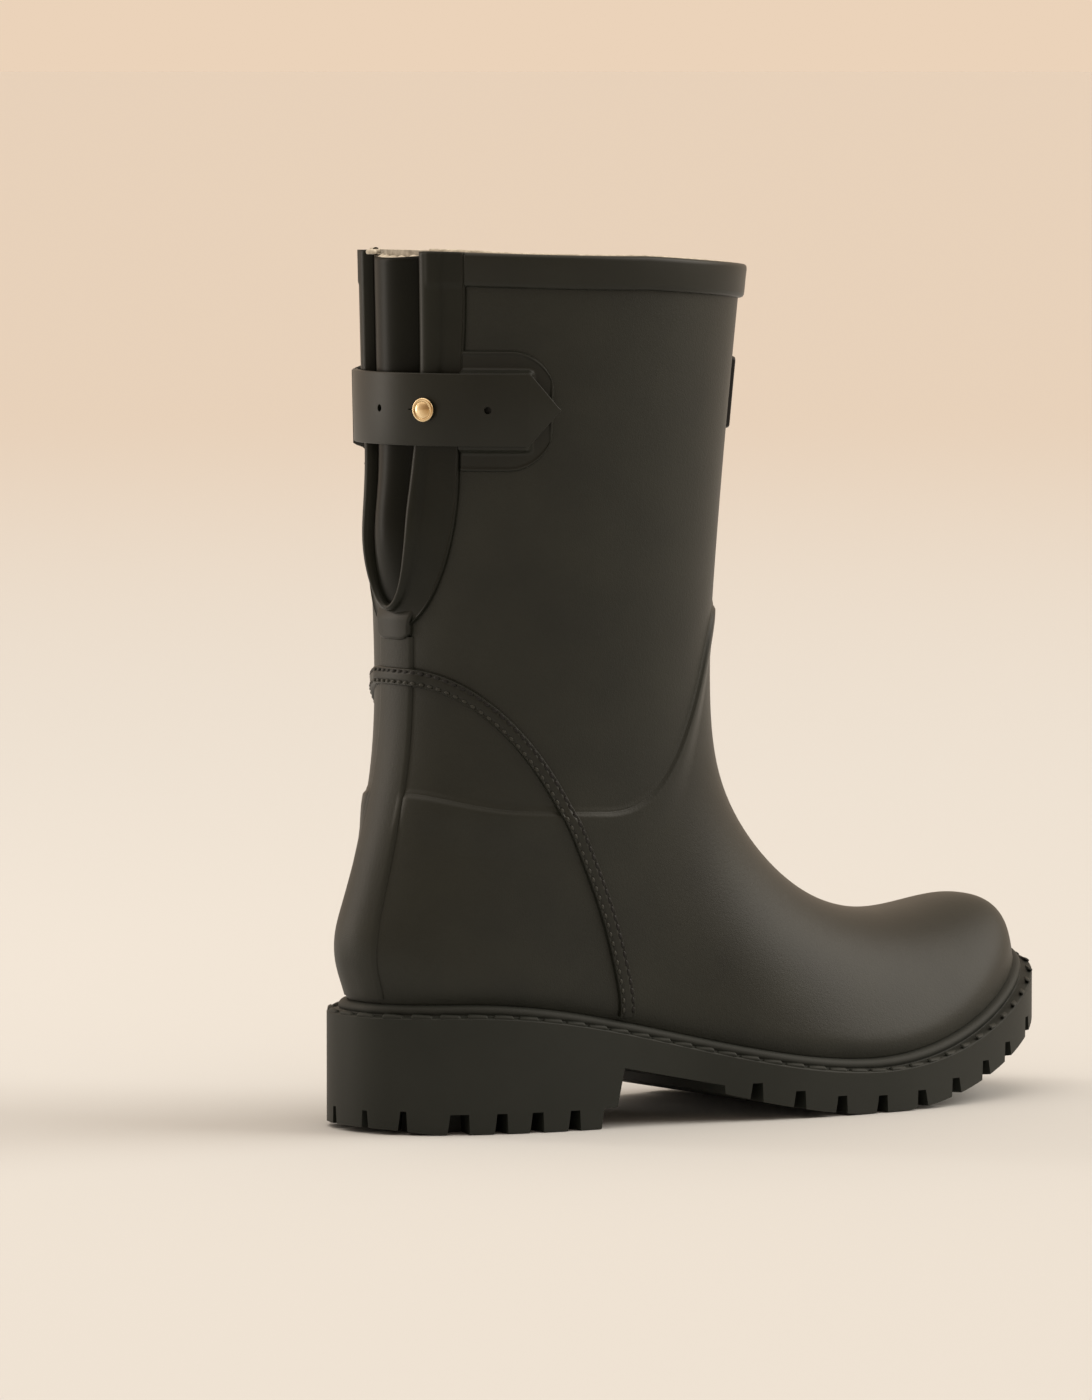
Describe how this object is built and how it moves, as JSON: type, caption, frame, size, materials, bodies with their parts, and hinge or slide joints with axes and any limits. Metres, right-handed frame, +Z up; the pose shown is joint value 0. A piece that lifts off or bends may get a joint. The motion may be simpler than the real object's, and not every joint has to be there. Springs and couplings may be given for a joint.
{
  "type": "rubber rain boot",
  "caption": "Mid-height right-foot rubber rain boot with a rear expansion gusset, an adjustable stud-and-strap closure, a raised heel and a lugged rubber sole.",
  "frame": {"origin": "centre of the outline of the boot, on the floor under the sole", "axes": "+X towards the toe, +Y towards the medial side of a right foot, +Z up the leg"},
  "size_m": [0.284, 0.1148, 0.2974],
  "materials": {
    "boot_rubber": "matte with a fine pebble grain",
    "sole_rubber": "matte",
    "badge_rubber": "smooth",
    "knit_lining": "grey heather knit",
    "fibre_board": "fibrous",
    "foam": "closed-cell foam",
    "stud_metal": "pale gold, satin",
    "steel": "plain"
  },
  "bodies": {
    "boot": {"leg_skin": "boot_rubber", "foot_skin": "boot_rubber", "lining": "knit_lining", "heel_counter": "fibre_board", "toe_puff": "fibre_board", "rim_band": "boot_rubber", "gusset_bellows": "boot_rubber", "gusset_lining": "knit_lining", "gusset_binding": "boot_rubber", "gusset_tab": "boot_rubber", "backstay": "boot_rubber", "counter_trim": "boot_rubber", "front_label": "badge_rubber", "lateral_patch": "boot_rubber", "medial_patch": "boot_rubber", "stud_tab": "boot_rubber", "stud": "stud_metal", "stud_screw": "steel", "strap_root": "boot_rubber", "welt": "sole_rubber", "outsole": "sole_rubber", "heel_core": "foam", "sole_filler": "foam", "shank": "steel", "insole_board": "fibre_board", "footbed": "foam"},
    "strap_a": {"strap_rear": "boot_rubber"},
    "strap_b": {"strap_middle": "boot_rubber"},
    "strap_c": {"strap_end": "boot_rubber"}
  },
  "joints": [
    {"name": "strap_root_swing", "type": "hinge", "parent": "boot", "child": "strap_a", "pos_m": [-0.11781, 0.03037, 0.24442], "axis": [0, 0, -1], "range_deg": [0, 75]},
    {"name": "strap_middle_flex", "type": "hinge", "parent": "strap_a", "child": "strap_b", "pos_m": [-0.12785, 0.00655, 0.24442], "axis": [0, 0, -1], "range_deg": [0, 25]},
    {"name": "strap_end_flex", "type": "hinge", "parent": "strap_b", "child": "strap_c", "pos_m": [-0.12007, -0.03221, 0.24436], "axis": [0, 0, -1], "range_deg": [0, 25]}
  ],
  "couplings": [
    {"joint": "strap_middle_flex", "follows": "strap_root_swing", "ratio": 0.33333},
    {"joint": "strap_end_flex", "follows": "strap_root_swing", "ratio": 0.33333}
  ]
}
